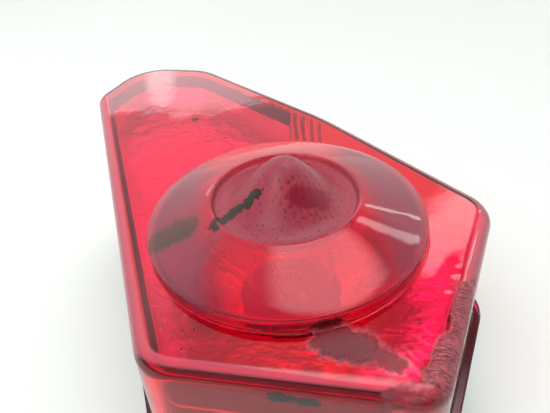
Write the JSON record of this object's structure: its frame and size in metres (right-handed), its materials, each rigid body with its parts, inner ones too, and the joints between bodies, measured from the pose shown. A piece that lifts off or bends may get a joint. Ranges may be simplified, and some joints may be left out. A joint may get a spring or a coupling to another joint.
{
  "type": "tail light",
  "caption": "Red bullseye tail light with a deep angular lens, black tray housing, metallised reflector, bayonet bulb and twist-lock bulb socket.",
  "frame": {"origin": "under the middle of the lamp's box, on the plane of its three rear mounting bosses, where it rests on its back", "axes": "+Z out of the lens, along the bullseye and the bulb; +Y up on the vehicle, towards the long arm; +X to the right seen from behind the vehicle"},
  "size_m": [0.1452, 0.1522, 0.094],
  "materials": {
    "lens_red": "transparent red moulded acrylic, polished, worn and scratched",
    "seal_rubber": "black sealing rubber",
    "housing_black": "fine-textured black moulded plastic",
    "reflector_metal": "bright vacuum-metallised film on moulded plastic",
    "zinc_steel": "bright zinc plate",
    "brass": "drawn and turned brass, lightly tarnished",
    "bulb_glass": "clear blown glass",
    "insulator": "dark moulded phenolic",
    "solder": "dull tin-lead solder",
    "tungsten": "drawn tungsten and nickel wire"
  },
  "bodies": {
    "housing": {"lens": "lens_red", "lens_seal": "seal_rubber", "housing": "housing_black", "reflector": "reflector_metal", "reflector_screw_1": "zinc_steel", "reflector_screw_2": "zinc_steel", "reflector_screw_3": "zinc_steel", "mount_insert_1": "brass", "mount_insert_2": "brass", "mount_insert_3": "brass", "vent_cap": "seal_rubber"},
    "socket": {"socket_body": "housing_black", "socket_gasket": "seal_rubber", "bayonet_sleeve": "zinc_steel", "terminal_1": "brass", "terminal_2": "brass", "terminal_3": "brass", "contact_spring": "zinc_steel"},
    "contact_carrier": {"contact_plate": "insulator", "contact_stud_tail": "brass", "contact_stud_brake": "brass"},
    "bulb": {"bulb_glass": "bulb_glass", "bulb_base": "brass", "bulb_pin_high": "brass", "bulb_pin_low": "brass", "bulb_insulator": "insulator", "bulb_contact_tail": "solder", "bulb_contact_brake": "solder", "glass_stem": "bulb_glass", "filament_tail": "tungsten", "filament_brake": "tungsten"}
  },
  "joints": [
    {"name": "socket_twist", "type": "hinge", "parent": "housing", "child": "socket", "pos_m": [0.01716, -0.02591, 0], "axis": [0, 0, 1], "range_deg": [-35, 0]},
    {"name": "bulb_push", "type": "slide", "parent": "socket", "child": "bulb", "axis": [0, 0, -1], "range_m": [0, 0.0025], "stiffness_N_per_m": 3000, "springref_m": -0.003},
    {"name": "plate_slide", "type": "slide", "parent": "socket", "child": "contact_carrier", "axis": [0, 0, -1], "range_m": [0, 0.0025], "deforming": ["contact_spring"]}
  ],
  "couplings": [
    {"joint": "plate_slide", "follows": "bulb_push", "ratio": 1}
  ]
}
